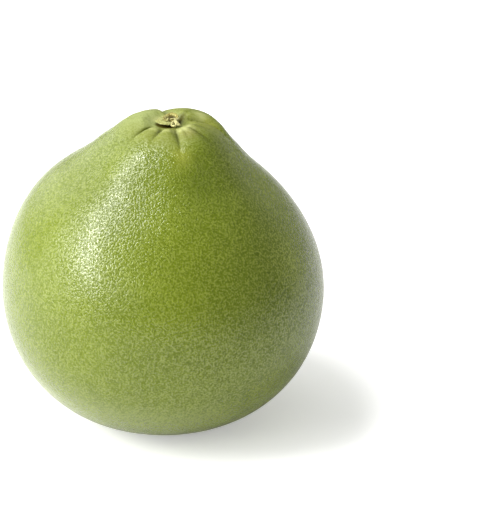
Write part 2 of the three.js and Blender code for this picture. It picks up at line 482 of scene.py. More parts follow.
@dataclass(frozen=True)
class RindFinish:
    """Waxy green rind: closely packed oil glands with paler ridges between them, on a softly rippled skin.

    An edge holds the values of a pattern between which it takes effect, and a least is how much of a stain or
    of painted light is left where the mottling is weakest. far_edge is a stretch along X, over which the
    contrast grows. Besides its own colours, the rind's colour carries painted light and shade: a paler neck
    top, pale patches of painted light and sheen, painted light on the rims round the hollow, painted shade on
    the neck's right side and along the folds, and painted shadow under and beside the calyx.
    """

    deep: Colour = (0.098, 0.130, 0.005)
    middle: Colour = (0.112, 0.146, 0.006)
    pale: Colour = (0.128, 0.160, 0.010)
    # painted light: a paler colour for the neck's top, standing in for light from above
    neck: Colour = (0.155, 0.178, 0.022)
    # painted light and sheen: a pale colour laid where light and sheen fall on the neck, and near the base
    # where the floor throws light up
    painted_light: Colour = (0.250, 0.290, 0.095)
    gland: Colour = (0.060, 0.086, 0.003)
    ridge: Colour = (0.175, 0.212, 0.018)
    # painted shade along the bottoms of the folds
    fold_shade: Colour = (0.045, 0.056, 0.004)
    # dark scarred rind with painted shadow under the calyx's brim and beside it, and the scarred spot at the
    # base
    scar_and_shadow: Colour = (0.047, 0.039, 0.004)
    # blush and russet are stain colours of the rind itself; the first entry is painted shade on the neck's
    # right side, and the last one is painted light on the rims round the hollow
    stains_and_painted_light: tuple[tuple[str, Colour, float], ...] = (
        ("darker", (0.060, 0.086, 0.003), 1.0),
        ("blush", (0.210, 0.225, 0.026), 0.75),
        ("russet", (0.185, 0.155, 0.040), 0.7),
        ("painted_rim_light", (0.320, 0.340, 0.115), 0.9),
    )
    gland_pitch: float = 1.35
    gland_scatter: float = 0.85
    gland_softness: float = 0.35
    gland_edge: Span = (0.22, 0.72)
    grain_pitch: float = 0.9
    grain_edge: Span = (0.33, 0.67)
    grain_share: float = 0.7
    contrast: float = 0.48
    far_contrast: float = 0.72
    far_edge: Span = (-20.0, 50.0)
    matte_contrast: float = 0.3
    pebble_depth: float = 0.115
    matte_bump: float = 0.35
    ripple_pitch: float = 2.6
    ripple_depth: float = 0.10
    cloud_pitch: float = 30.0
    cloud_edge: Span = (0.36, 0.60)
    mottle_pitch: float = 5.0
    pale_edge: Span = (0.35, 0.75)
    pale_share: float = 0.15
    stain_edge: Span = (0.25, 0.6)
    stain_least: float = 0.45
    # how much of the painted light is left where the mottling is weakest
    painted_light_least: float = 0.6
    roughness: float = 0.22
    matte_roughness: float = 0.34
    gland_shine: float = 0.25
    ridge_shine: float = 0.80
    fold_shine: float = 0.1
    ior: float = 1.45

    def pebbles(self, tree: Tree, place: Any) -> bpy.types.Node:
        """The rind's pebbling, broken up by a finer grain.

        Args:
            tree: the material's tree.
            place: the object coordinates.

        Returns:
            Its height, from 0 in a gland to 1 on a ridge.
        """
        glands = tree.cells(place, 1 / (MM * self.gland_pitch), self.gland_scatter, self.gland_softness)
        net = tree.rise(glands, *self.gland_edge)
        grain = tree.rise(tree.noise(place, 1 / (MM * self.grain_pitch), detail=0.0), *self.grain_edge)
        return tree.math("ADD", tree.times(net, 1 - self.grain_share), tree.times(grain, self.grain_share))

    def tint(self, tree: Tree, place: Any, pebbles: Any, matte: Any) -> bpy.types.NodeSocket:
        """The rind's colour: clouds and mottling, the pebbling over them, then stain patches together with
        painted light and shade, painted shade in the folds, and scarred rind with painted shadow.

        Args:
            tree: the material's tree.
            place: the object coordinates.
            pebbles: the height of the pebbling.
            matte: how matte the rind is.

        Returns:
            The colour.
        """
        clouds = tree.noise(place, 1 / (MM * self.cloud_pitch), detail=3.0, rough=0.55)
        mottle = tree.noise(place, 1 / (MM * self.mottle_pitch), detail=3.0, rough=0.6)
        tint = tree.mix(tree.rise(clouds, *self.cloud_edge), rgba(self.deep), rgba(self.middle))
        tint = tree.mix(tree.rise(mottle, *self.pale_edge, 0.0, self.pale_share), tint, rgba(self.pale))
        # painted light: the neck's top is made paler
        tint = tree.mix(tree.attribute("painted_neck_light"), tint, rgba(self.neck))
        # painted light and sheen, broken up by the mottling
        painted_light_breakup = tree.rise(mottle, *self.stain_edge, self.painted_light_least, 1.0)
        tint = tree.mix(tree.times(tree.attribute("painted_light"), painted_light_breakup), tint, rgba(self.painted_light))
        along = tree.add("ShaderNodeSeparateXYZ", {0: place}).outputs[0]
        near, far = (edge * MM for edge in self.far_edge)
        strong = tree.times(tree.rise(along, near, far, self.contrast, self.far_contrast),
                            tree.rise(matte, 0.0, 1.0, 1.0, self.matte_contrast))
        tint = tree.mix(tree.times(tree.rise(pebbles, 0.0, 0.5, 1.0, 0.0), strong), tint, rgba(self.gland))
        tint = tree.mix(tree.times(tree.rise(pebbles, 0.5, 1.0), strong), tint, rgba(self.ridge))
        # stain colours, and with them painted shade on the neck's right side and painted light on the rims
        # round the hollow
        for name, colour, strength in self.stains_and_painted_light:
            broken = tree.rise(mottle, *self.stain_edge, self.stain_least * strength, strength)
            tint = tree.mix(tree.times(tree.attribute(name), broken), tint, rgba(colour))
        # painted shade along the bottoms of the folds
        tint = tree.mix(tree.attribute("crease"), tint, rgba(self.fold_shade))
        # dark scarred rind with painted shadow under and beside the calyx
        return tree.mix(tree.attribute("scar_and_shadow"), tint, rgba(self.scar_and_shadow))

    def material(self) -> bpy.types.Material:
        """Builds the rind's material on object coordinates and the fruit's own attributes.

        Returns:
            The material.
        """
        made, tree = new_material("pebbled_rind")
        place = tree.add("ShaderNodeTexCoord").outputs["Object"]
        pebbles, matte = self.pebbles(tree, place), tree.attribute("matte")
        ripples = tree.bump(self.ripple_depth, tree.noise(place, 1 / (MM * self.ripple_pitch)))
        shine = tree.rise(pebbles, 0.0, 1.0, self.gland_shine, self.ridge_shine)
        dull = tree.math("MAXIMUM", tree.attribute("crease"), tree.attribute("scar_and_shadow"))
        tree.surface({
            "Base Color": self.tint(tree, place, pebbles, matte),
            "Normal": tree.bump(self.pebble_depth, pebbles, tree.rise(matte, 0.0, 1.0, 1.0, self.matte_bump),
                                over=ripples),
            "IOR": self.ior,
            "Specular IOR Level": tree.times(shine, tree.rise(dull, 0.0, 1.0, 1.0, self.fold_shine)),
            "Roughness": tree.math("ADD", self.roughness, tree.times(matte, self.matte_roughness))})
        return made


@dataclass(frozen=True)
class DryFinish:
    """A dry, matte plant surface, mottled between three colours and finely wrinkled."""

    name: str
    dark: Colour
    middle: Colour
    light: Colour
    shade: Colour = (0.050, 0.036, 0.006)
    mottle_pitch: float = 1.6
    middle_edge: Span = (0.36, 0.52)
    light_edge: Span = (0.5, 0.68)
    wrinkle_pitch: float = 0.5
    wrinkle_depth: float = 0.12
    roughness: Span = (0.7, 0.9)
    rough_edge: Span = (0.3, 0.7)
    shine: float = 0.15

    def material(self) -> bpy.types.Material:
        """Builds the material on object coordinates, with painted shade mixed in where the piece carries it.

        Returns:
            The material.
        """
        made, tree = new_material(self.name)
        place = tree.add("ShaderNodeTexCoord").outputs["Object"]
        mottle = tree.noise(place, 1 / (MM * self.mottle_pitch), detail=4.0, rough=0.65)
        wrinkles = tree.noise(place, 1 / (MM * self.wrinkle_pitch), detail=3.0, rough=0.7)
        tint = tree.mix(tree.rise(mottle, *self.middle_edge), rgba(self.dark), rgba(self.middle))
        tint = tree.mix(tree.rise(mottle, *self.light_edge), tint, rgba(self.light))
        # painted shade: the shade colour is mixed in where the piece carries it
        tree.surface({
            "Base Color": tree.mix(tree.attribute("painted_shade"), tint, rgba(self.shade)),
            "Normal": tree.bump(self.wrinkle_depth, wrinkles), "Specular IOR Level": self.shine,
            "Roughness": tree.rise(mottle, *self.rough_edge, *self.roughness)})
        return made


CALYX_FINISH = DryFinish("withered_calyx", (0.17, 0.165, 0.045), (0.26, 0.27, 0.09), (0.36, 0.375, 0.17))
WOOD_FINISH = DryFinish("broken_wood", (0.16, 0.125, 0.026), (0.31, 0.285, 0.085), (0.42, 0.40, 0.16),
                        shade=(0.040, 0.031, 0.004), mottle_pitch=1.1)
FIBRE_FINISH = DryFinish("torn_fibre", (0.24, 0.21, 0.075), (0.38, 0.36, 0.15), (0.52, 0.51, 0.26),
                         mottle_pitch=0.9, wrinkle_depth=0.06)


# --- Geometry Nodes ---


class PieceTree(Tree):
    """A Geometry Nodes tree that takes a mesh, named numbers, a seed and a material, and gives a surface."""

    def __init__(self, name: str, sizes: dict[str, float | int]) -> None:
        """Starts the tree.

        Args:
            name: its name.
            sizes: its number inputs and their first values. Lengths are in millimetres.
        """
        self.group = bpy.data.node_groups.new(name, "GeometryNodeTree")
        super().__init__(self.group)
        face = self.group.interface
        face.new_socket("Geometry", in_out="INPUT", socket_type="NodeSocketGeometry")
        for label, value in (sizes | {"Seed": 0.0}).items():
            kind = "NodeSocketInt" if isinstance(value, int) else "NodeSocketFloat"
            face.new_socket(label, in_out="INPUT", socket_type=kind).default_value = value
        face.new_socket("Material", in_out="INPUT", socket_type="NodeSocketMaterial")
        face.new_socket("Geometry", in_out="OUTPUT", socket_type="NodeSocketGeometry")
        self.given = self.add("NodeGroupInput").outputs
        self.place = self.scaled(self.add("GeometryNodeInputPosition"), 1 / MM)

    def named(self, name: str) -> bpy.types.Node:
        """The numbers that the mesh carries under a name."""
        return self.add("GeometryNodeInputNamedAttribute", {"Name": name}, data_type="FLOAT")

    def swells(self, pitch: str, depth: str, rough: float = 0.5) -> bpy.types.Node:
        """Soft rises and dips.

        Args:
            pitch: the input that gives their pitch.
            depth: the input that gives their depth.
            rough: how much fine unevenness they hold.

        Returns:
            Their height in millimetres, on both sides of 0.
        """
        moved = self.shifted(self.place, self.given["Seed"])
        drawn = self.noise(moved, self.math("DIVIDE", 1.0, self.given[pitch]), rough=rough)
        return self.times(self.math("SUBTRACT", drawn, 0.5), self.given[depth])

    def finished(self, geometry: Any, lift: Any) -> bpy.types.NodeTree:
        """Ends the tree: moves the surface along its normals and gives it smooth shading and the material.

        Args:
            geometry: the surface.
            lift: how far out each of its points moves, in metres.

        Returns:
            The finished tree.
        """
        offset = self.scaled(self.add("GeometryNodeInputNormal"), lift)
        shaped = self.add("GeometryNodeSetPosition", {"Geometry": geometry, "Offset": offset})
        smooth = self.add("GeometryNodeSetShadeSmooth", {"Geometry": shaped})
        real = self.add("GeometryNodeRealizeInstances", {"Geometry": smooth})
        dressed = self.add("GeometryNodeSetMaterial", {"Geometry": real, "Material": self.given["Material"]})
        self.add("NodeGroupOutput", {"Geometry": dressed})
        return self.group


def relief_tree(name: str) -> bpy.types.NodeTree:
    """A tree that sinks a surface by soft swells and by pits in random cells.

    Args:
        name: the tree's name.

    Returns:
        The tree. The mesh's own "pebbled" says how much of the relief each point gets.
    """
    tree = PieceTree(name, {"Swell Pitch": 5.0, "Swell Depth": 0.2, "Pit Pitch": 2.0, "Pit Depth": 0.1})
    given, allowed = tree.given, tree.named("pebbled")
    cells = tree.cells(tree.place, tree.math("DIVIDE", 1.0, given["Pit Pitch"]), scatter=0.85)
    pits = tree.times(tree.rise(cells, 0.0, 0.5, 1.0, 0.0), given["Pit Depth"])
    uneven = tree.math("ADD", tree.swells("Swell Pitch", "Swell Depth"), pits)
    level = tree.times(tree.math("MINIMUM", allowed, 1.0), tree.times(given["Swell Depth"], 0.5))
    sunk = tree.math("ADD", tree.times(uneven, allowed), level)
    return tree.finished(given["Geometry"], tree.times(sunk, -MM))


def strand_tree(name: str) -> bpy.types.NodeTree:
    """A tree that turns the edges of a mesh into closed fibres.

    Args:
        name: the tree's name.

    Returns:
        The tree. The mesh's own "thick" is the fibres' radius, and "Sides" says how many sides they have.
    """
    tree = PieceTree(name, {"Step": 0.2, "Rough Pitch": 0.6, "Rough Depth": 0.1, "Sides": 8})
    path = tree.add("GeometryNodeMeshToCurve", {"Mesh": tree.given["Geometry"]})
    step = tree.times(tree.given["Step"], MM)
    path = tree.add("GeometryNodeResampleCurve", {"Curve": path, "Length": step}, mode="LENGTH")
    section = tree.add("GeometryNodeCurvePrimitiveCircle", {"Resolution": tree.given["Sides"], "Radius": MM})
    tubes = tree.add("GeometryNodeCurveToMesh", {
        "Curve": path, "Profile Curve": section, "Scale": tree.named("thick"), "Fill Caps": True})
    return tree.finished(tubes, tree.times(tree.swells("Rough Pitch", "Rough Depth", rough=0.6), MM))


def apply_tree(target: bpy.types.Object, group: bpy.types.NodeTree, values: dict[str, Any]) -> None:
    """Runs a Geometry Nodes tree on an object and keeps the result as its plain mesh.

    Args:
        target: the object.
        group: the tree.
        values: what the tree's inputs get, by name.
    """
    modifier = target.modifiers.new(group.name, "NODES")
    modifier.node_group = group
    for item in group.interface.items_tree:
        if item.in_out == "INPUT" and item.name in values:
            modifier[item.identifier] = values[item.name]
    depsgraph = bpy.context.evaluated_depsgraph_get()
    plain = bpy.data.meshes.new_from_object(target.evaluated_get(depsgraph), depsgraph=depsgraph)
    target.modifiers.clear()
    target.data = plain


def place_piece(piece: bpy.types.Object, slot: Slot, *nodes: str) -> None:
    """Makes a finished piece ride on the body, and reports it.

    Args:
        piece: the piece.
        slot: its material slot; not used.
        *nodes: the nodes that it stands for.
    """
    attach(piece, BODY)
    if nodes:
        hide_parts(*nodes)
    log.info("%s: %d faces", piece.name, len(piece.data.polygons))


# --- the fruit ---


@dataclass(frozen=True)
class Patch:
    """A soft round patch on the neck, at an azimuth in degrees and a radius in millimetres."""

    azimuth: float
    radius: float
    spread: float
    strength: float = 1.0

    def on(self, radius: np.ndarray, azimuth: np.ndarray) -> np.ndarray:
        """Reads the patch.

        Args:
            radius: the points' radii.
            azimuth: their azimuths in radians.

        Returns:
            Its strength at each point.
        """
        middle = math.radians(self.azimuth)
        across = radius * np.cos(azimuth) - self.radius * math.cos(middle)
        along = radius * np.sin(azimuth) - self.radius * math.sin(middle)
        return self.strength * np.exp(-(across**2 + along**2) / self.spread**2)


@dataclass(frozen=True)
class Sector:
    """A stretch round the calyx, in degrees: whole up to one angle from its middle and gone at another."""

    azimuth: float
    whole: float
    gone: float

    def on(self, azimuth: np.ndarray) -> np.ndarray:
        """How much of it there is at each azimuth, from 0 to 1."""
        away = np.abs(turn_between(math.radians(self.azimuth), azimuth))
        return 1 - smoothstep(away, math.radians(self.whole), math.radians(self.gone))


@dataclass
class Fruit:
    """The whole fruit: the form over a sphere of even quads, finer on the neck, with its pebbled rind.

    The marks of the rind are patches on the neck, some of them painted light and painted shade, painted shade
    along the folds, painted shadow over dark scarred rind under the calyx's brim, a painted shadow beside the
    calyx, and painted light on the pale lips round the hollow. An edge holds the two ends of a smooth change,
    in millimetres. The skin is measured in as many samples, and points that agree to same_place decimals are
    one.
    """

    form: PomeloForm
    finish: RindFinish = RindFinish()
    cells: int = 124
    samples: int = 2001
    same_place: int = 5
    neck_fineness: float = 0.55
    neck_share: float = 0.26
    swell_pitch: float = 5.5
    swell_depth: float = 0.22
    neck_swell: float = 1.4
    neck_swell_radius: float = 25.0
    neck_swell_spread: float = 12.0
    base_rise: float = 8.0
    pit_pitch: float = 3.2
    pit_depth: float = 0.05
    neck_end: float = 40.0
    matte_edge: Span = (16.0, 30.0)
    # the painted shade along the folds
    fold_width: float = 0.7
    fold_depth: float = 0.9
    fold_shift: float = 1.2
    fold_edge: Span = (8.5, 14.0)
    end_scar_radius: float = 3.4
    end_scar_depth: float = 1.0
    wrinkles: tuple[Crease, ...] = (
        Crease(52, 0, 18, 1.2, 1.6),
        Crease(72, 5, 16, 0.5, 0.8),
        Crease(128, -6, 18, 0.6, 0.9),
        Crease(160, 7, 17, 0.4, 0.8),
        Crease(196, -8, 16, 0.5, 0.8),
        Crease(240, 5, 16, 0.5, 0.6),
        Crease(268, 8, 18, 0.5, 0.6),
        Crease(300, -6, 22, 0.5, 0.8),
        Crease(316, 3, 30, 0.8, 1.3),
        Crease(338, 5, 27, 0.5, 1.0),
        Crease(14, 5, 25, 0.8, 1.8),
    )
    # where the neck's painted light is held back, on its shaded right side
    neck_shade_spot: Patch = Patch(312, 25, 10, 0.95)
    # more painted shade for the folds on the neck's right side
    fold_shade_patch: Patch = Patch(318, 21, 5, 0.25)
    # patches of painted light and sheen on the neck
    light_patches: tuple[Patch, ...] = (Patch(160, 15, 12), Patch(31, 16, 3.6, 0.8), Patch(314, 13, 3.0, 0.3))
    # painted light near the base, standing in for light thrown up by the floor
    base_bounce_light: float = 0.3
    base_bounce_light_edge: Span = (26.0, 42.0)
    blushes: tuple[Patch, ...] = (Patch(10, 17, 7), Patch(281, 28, 5, 0.8))
    russets: tuple[Patch, ...] = (Patch(303, 14.5, 5, 0.6),)
    # painted shade on the neck's right side, where it turns away from the light
    side_shade_patches: tuple[Patch, ...] = (Patch(293, 39, 13, 0.6),)
    # patches of painted light on the rims round the hollow
    rim_light_patches: tuple[Patch, ...] = (Patch(304, 10.4, 3.4, 0.9), Patch(33, 16.5, 2.6, 1.1))
    # painted light along the rims round the hollow, in front and at the left
    front: Sector = Sector(282, 45, 70)
    front_rim_light: float = 0.7
    front_lip_radius: float = 12.0
    left: Sector = Sector(125, 20, 50)
    left_lip_radius: float = 7.6
    lip_width: float = 1.5
    # painted shadow over dark scarred rind under the calyx's brim
    gap_shadow: Sector = Sector(240, 55, 85)
    gap_shift: float = 1.1
    gap_edge: Span = (6.4, 8.0)
    # a painted shadow beside the calyx, where the stub's side is in shade
    crescent_shadow_start: Span = (7.3, 2.0)
    crescent_shadow_end: Span = (8.8, 6.6)
    crescent_shadow_width: float = 1.7
    crescent_shadow_fade: float = 0.25

    def sphere(self) -> tuple[np.ndarray, np.ndarray]:
        """Lays even quads over the unit sphere, on the faces of a cube.

        Returns:
            The points, one row each, and the quads as rows of point numbers.
        """
        steps = np.tan(np.linspace(-math.pi / 4, math.pi / 4, self.cells + 1))
        u, v = np.meshgrid(steps, steps, indexing="ij")
        row, column = np.meshgrid(np.arange(self.cells), np.arange(self.cells), indexing="ij")
        corner = row * (self.cells + 1) + column
        quad = np.stack([corner, corner + self.cells + 1, corner + self.cells + 2, corner + 1], -1)
        points, quads = [], []
        for axis in range(3):
            for sign in (1, -1):
                side = np.zeros((*u.shape, 3))
                side[..., axis] = sign
                side[..., (axis + 1) % 3] = u * sign
                side[..., (axis + 2) % 3] = v
                quads.append(quad.reshape(-1, 4) + len(points) * side[..., 0].size)
                points.append(side.reshape(-1, 3))
        every = np.vstack(points)
        every /= np.linalg.norm(every, axis=1, keepdims=True)
        _, index, inverse = np.unique(np.round(every, self.same_place), axis=0, return_index=True,
                                      return_inverse=True)
        return every[index], inverse.reshape(-1)[np.vstack(quads)]

    def polar_angles(self, share: np.ndarray) -> np.ndarray:
        """Spreads the mesh's rows down the skin, with finer steps on the neck.

        Args:
            share: the points' shares of the way down the sphere.

        Returns:
            The form's polar angle for each point.
        """
        polar = np.linspace(0, math.pi, self.samples)
        radius = self.form.belly_radius * np.sin(polar)
        side = np.full_like(radius, math.pi / 2)
        upper, lower = self.form.upper_skin(radius, side), self.form.lower_skin(radius, side)
        skin = np.where((polar <= math.pi / 2)[:, None], upper, lower)
        length = way_along(skin)
        way = np.linspace(0, 1, self.samples)
        pace = 1 - self.neck_fineness * np.exp(-((way / self.neck_share) ** 2))
        gone = np.concatenate([[0], np.cumsum((pace[1:] + pace[:-1]) / 2)])
        wanted = np.interp(share, way, gone / gone[-1]) * length[-1]
        return np.interp(wanted, length, polar)

    def build(self) -> None:
        """Builds the fruit's mesh and dresses it."""
        form = self.form
        directions, quads = self.sphere()
        azimuth = np.arctan2(directions[:, 1], directions[:, 0])
        polar = self.polar_angles(np.arccos(np.clip(directions[:, 2], -1, 1)) / math.pi)
        radius = form.belly_radius * np.sin(polar)
        above = polar <= math.pi / 2
        creased = sum(c.depth * form.crease_cut(c, radius, azimuth) for c in form.creases)
        wrinkled = sum(c.depth * form.crease_cut(c, radius, azimuth) for c in self.wrinkles)
        height = form.lobes(radius, azimuth) + form.flutings(radius, azimuth) - creased - wrinkled
        upper = form.upper_skin(radius, azimuth) + form.upper_normal(radius, azimuth) * height[:, None]
        upper[:, 2] = form.seat_height + (upper[:, 2] - form.seat_height) * form.out_of_hollow(upper)
        lower = form.lower_skin(radius, azimuth)
        lower += ring((0, 0, 0), azimuth, form.flutings(2 * form.belly_radius - radius, azimuth), 0.0)
        lower[:, 2] += self.end_scar_depth * bell(radius, 0, self.end_scar_radius)
        points = np.where(above[:, None], upper, lower)
        fruit = mesh_object("fruit_rind", points, quads, self.marks(points, radius, azimuth, above))
        apply_tree(fruit, relief_tree("rind_relief"), {
            "Swell Pitch": self.swell_pitch, "Swell Depth": self.swell_depth,
            "Pit Pitch": self.pit_pitch, "Pit Depth": self.pit_depth,
            "Material": self.finish.material()})
        place_piece(fruit, Slot.RIND, "fruit")

    def marks(self, points: np.ndarray, radius: np.ndarray, azimuth: np.ndarray,
              above: np.ndarray) -> dict[str, np.ndarray]:
        """The numbers that the relief and the rind's material read.

        Args:
            points: the points of the skin.
            radius: their radii.
            azimuth: their azimuths.
            above: whether each one is above the widest level.

        Returns:
            A number for each point, by name.
        """
        form = self.form
        # painted shade along the folds and wrinkles
        fold_shade_lines = sum(self.fold_shade_line(crease, radius, azimuth) for crease in (*form.creases, *self.wrinkles))
        x, y = (points[:, k] - form.calyx_place[k] for k in (0, 1))
        from_calyx, turned = np.hypot(x, y), np.arctan2(y, x)
        # painted light and sheen, two stain colours, painted shade, and painted light on the rims, in that
        # order
        painted_light, blush, russet, dark, painted_rim_light = (
            sum(patch.on(radius, azimuth) for patch in patches)
            for patches in (self.light_patches, self.blushes, self.russets, self.side_shade_patches, self.rim_light_patches))
        # painted light on the rims round the hollow
        at_front, at_left = (bell(from_calyx, lip_radius, self.lip_width)
                             for lip_radius in (self.front_lip_radius, self.left_lip_radius))
        painted_rim_light = painted_rim_light + self.front_rim_light * self.front.on(turned) * at_front + self.left.on(turned) * at_left
        swelled = 1 + self.neck_swell * bell(radius, self.neck_swell_radius, self.neck_swell_spread)
        # painted shadow over dark scarred rind under the calyx's brim
        gap_shadow = self.gap_shadow.on(turned) * (1 - smoothstep(np.hypot(x - self.gap_shift, y), *self.gap_edge))
        matte = np.where(above, 1 - smoothstep(radius, *self.matte_edge), 0)
        # painted shade along the folds
        fold_shades = np.clip(fold_shade_lines + self.fold_shade_patch.on(radius, azimuth), 0, 1)
        # painted light near the base, standing in for light from the floor
        low = self.base_bounce_light * (1 - smoothstep(points[:, 2], *self.base_bounce_light_edge))
        end_scar = bell(radius, 0, self.end_scar_radius)
        on_neck = above & (radius < self.neck_end)
        return {
            "pebbled": np.where(above, form.out_of_hollow(points) * swelled,
                                smoothstep(radius, form.flat_radius, form.flat_radius + self.base_rise)),
            "matte": matte,
            # painted light on the neck's top, held back on its shaded right side
            "painted_neck_light": matte * (1 - self.neck_shade_spot.on(radius, azimuth)),
            # painted shade along the folds
            "crease": np.where(above, fold_shades, 0),
            # painted light and sheen on the neck and near the base
            "painted_light": np.where(on_neck, painted_light, 0) + np.where(above, 0, low),
            "blush": np.where(on_neck, blush, 0),
            "russet": np.where(on_neck, russet, 0),
            # painted shade on the neck's right side
            "darker": np.where(above, dark, 0),
            # painted shadow under and beside the calyx over scarred rind; below, the scarred spot at the base
            "scar_and_shadow": np.where(above, np.maximum(gap_shadow, self.crescent_shadow(points)), end_scar),
            # painted light on the rims round the hollow
            "painted_rim_light": np.where(above, painted_rim_light, 0),
        }

    def fold_shade_line(self, crease: Crease, radius: np.ndarray, azimuth: np.ndarray) -> np.ndarray:
        """The painted shade along the bottom of a crease or a wrinkle, darker in the deep ones.

        Args:
            crease: the crease or the wrinkle.
            radius: the points' radii.
            azimuth: their azimuths.

        Returns:
            How dark the line is at each point.
        """
        line = replace(crease, width=self.fold_width, azimuth=crease.azimuth - self.fold_shift)
        strength = crease.fold_shade * min(crease.depth / self.fold_depth, 1.0)
        return strength * smoothstep(radius, *self.fold_edge) * self.form.crease_cut(line, radius, azimuth)

    def crescent_shadow(self, points: np.ndarray) -> np.ndarray:
        """A painted shadow beside the calyx: a soft dark stroke, fainter towards its end.

        Args:
            points: points of the skin.

        Returns:
            How dark the stroke is at each one.
        """
        way = np.subtract(self.crescent_shadow_end, self.crescent_shadow_start)
        from_start = points[:, :2] - self.crescent_shadow_start
        share = np.clip(from_start @ way / (way @ way), 0, 1)
        away = np.hypot(*(from_start - share[:, None] * way).T)
        return (1 - self.crescent_shadow_fade * share) * bell(away, 0, self.crescent_shadow_width)


# --- the calyx and the stub ---


def smooth_profile(rows: Sequence[Sequence[float]], count: int, passes: int = 2) -> np.ndarray:
    """Points spread evenly along a profile, with its corners rounded a little.

    Args:
        rows: the profile's rows, whose first two numbers are radius and height.
        count: how many points to return.
        passes: how often the corners are rounded.

    Returns:
        As many rows with the same columns.
    """
    table = np.asarray(rows, float)
    length = way_along(table[:, :2])
    at = np.linspace(0, length[-1], count)
    even = np.stack([np.interp(at, length, column) for column in table.T], -1)
    for _ in range(passes):
        even[1:-1] = (even[:-2] + 2 * even[1:-1] + even[2:]) / 4
    return even


@dataclass
class Calyx:
    """The dry calyx: a low dome on a short foot, with five weathered lobes and a wavy brim. Painted shade
    darkens it under its brim, in the dips of its ribs and lobes and round the stub's foot.

    A row of the profile holds a radius, a height and how much of the shift it gets, and an edge holds the
    two ends of a smooth change. What is named over or under starts at that height.
    """

    form: PomeloForm
    height: float = 2.6
    shift: Span = (2.3, 0.1)
    droop: float = 0.2
    droop_azimuth: float = math.radians(195)
    droop_spread: float = 0.6
    droop_edge: Span = (0.6, 1.4)
    profile: tuple[Point, ...] = (
        (0, 2.6, 1), (3.6, 2.6, 1), (4.6, 2.4, 0.6), (5.5, 2.0, 0.25), (6.0, 1.7, 0), (6.1, 1.5, 0),
        (5.7, 1.3, 0), (4.9, 1.0, 0), (4.2, 0.5, 0), (4.1, 0, 0), (0, 0, 0))
    brim: Waves = ((1, 0.3, 0), (5, 0.3, 180), (3, 0.08, 40), (11, 0.07, 12), (17, 0.05, 3))
    ribs: Waves = ((10, 0.10, 9), (23, 0.07, 4), (37, 0.05, 2))
    ribs_share: float = 0.9
    ribs_over: float = 1.6
    lobes: Waves = ((5, 0.25, 0),)
    lobes_over: float = 1.2
    # painted shade: in the dips of the ribs and lobes, under the brim and round the stub's foot
    dark_edge: Span = (0.05, 0.25)
    darkest: float = 0.5
    shaded_under: float = 1.35
    stub_shade: float = 0.25
    stub_edge: Span = (3.4, 5.2)
    rough_past: float = 3.6
    segments: int = 144
    rings: int = 54

    @property
    def top(self) -> Point:
        """The middle of its top, on which the stub stands."""
        x, y = (self.form.calyx_place[k] + self.shift[k] for k in (0, 1))
        return x, y, self.form.seat_height + self.height

    def build(self) -> None:
        """Builds the calyx on its seat and dresses it."""
        azimuth = np.linspace(0, TURN, self.segments, endpoint=False)
        widest = max(row[0] for row in self.profile)
        drooping = bell(turn_between(self.droop_azimuth, azimuth), 0, self.droop_spread)
        rings, painted_shade, rough = [], [], []
        for radius, height, shift in smooth_profile(self.profile, self.rings):
            share = radius / widest
            reach = radius + wavy(azimuth, self.brim) * share**4
            ribbed = self.ribs_share if height > self.ribs_over else 0.0
            lift = wavy(azimuth, self.ribs) * share**2 * ribbed
            lift = lift - wavy(azimuth, self.lobes) * share**6 * (height > self.lobes_over)
            # painted shade in the dips of the ribs and lobes
            dark = self.darkest * smoothstep(-lift, *self.dark_edge)
            lift = lift - self.droop * share**4 * drooping * smoothstep(height, *self.droop_edge)
            x, y = (self.form.calyx_place[k] + shift * self.shift[k] for k in (0, 1))
            rings.append(ring((x, y, self.form.seat_height), azimuth, reach,
                              np.clip(height + lift, 0, self.height)))
            # painted shade under the brim and round the stub's foot
            shaded = 1.0 if height < self.shaded_under else 0.0
            near_stub = self.stub_shade * (1 - smoothstep(radius, *self.stub_edge))
            painted_shade.append(np.clip(shaded + dark + near_stub, 0, 1))
            outside = height > self.lobes_over and radius > self.rough_past
            rough.append(np.full_like(azimuth, 1.0 if outside else 0.0))
        calyx = ring_mesh("dry_calyx", rings, {"painted_shade": painted_shade, "pebbled": rough})
        apply_tree(calyx, relief_tree("calyx_wrinkles"), {
            "Swell Pitch": 1.6, "Swell Depth": 0.35, "Pit Pitch": 0.9, "Pit Depth": 0.12, "Seed": 7.0,
            "Material": CALYX_FINISH.material()})
        place_piece(calyx, Slot.DRIED_CALYX, "calyx")


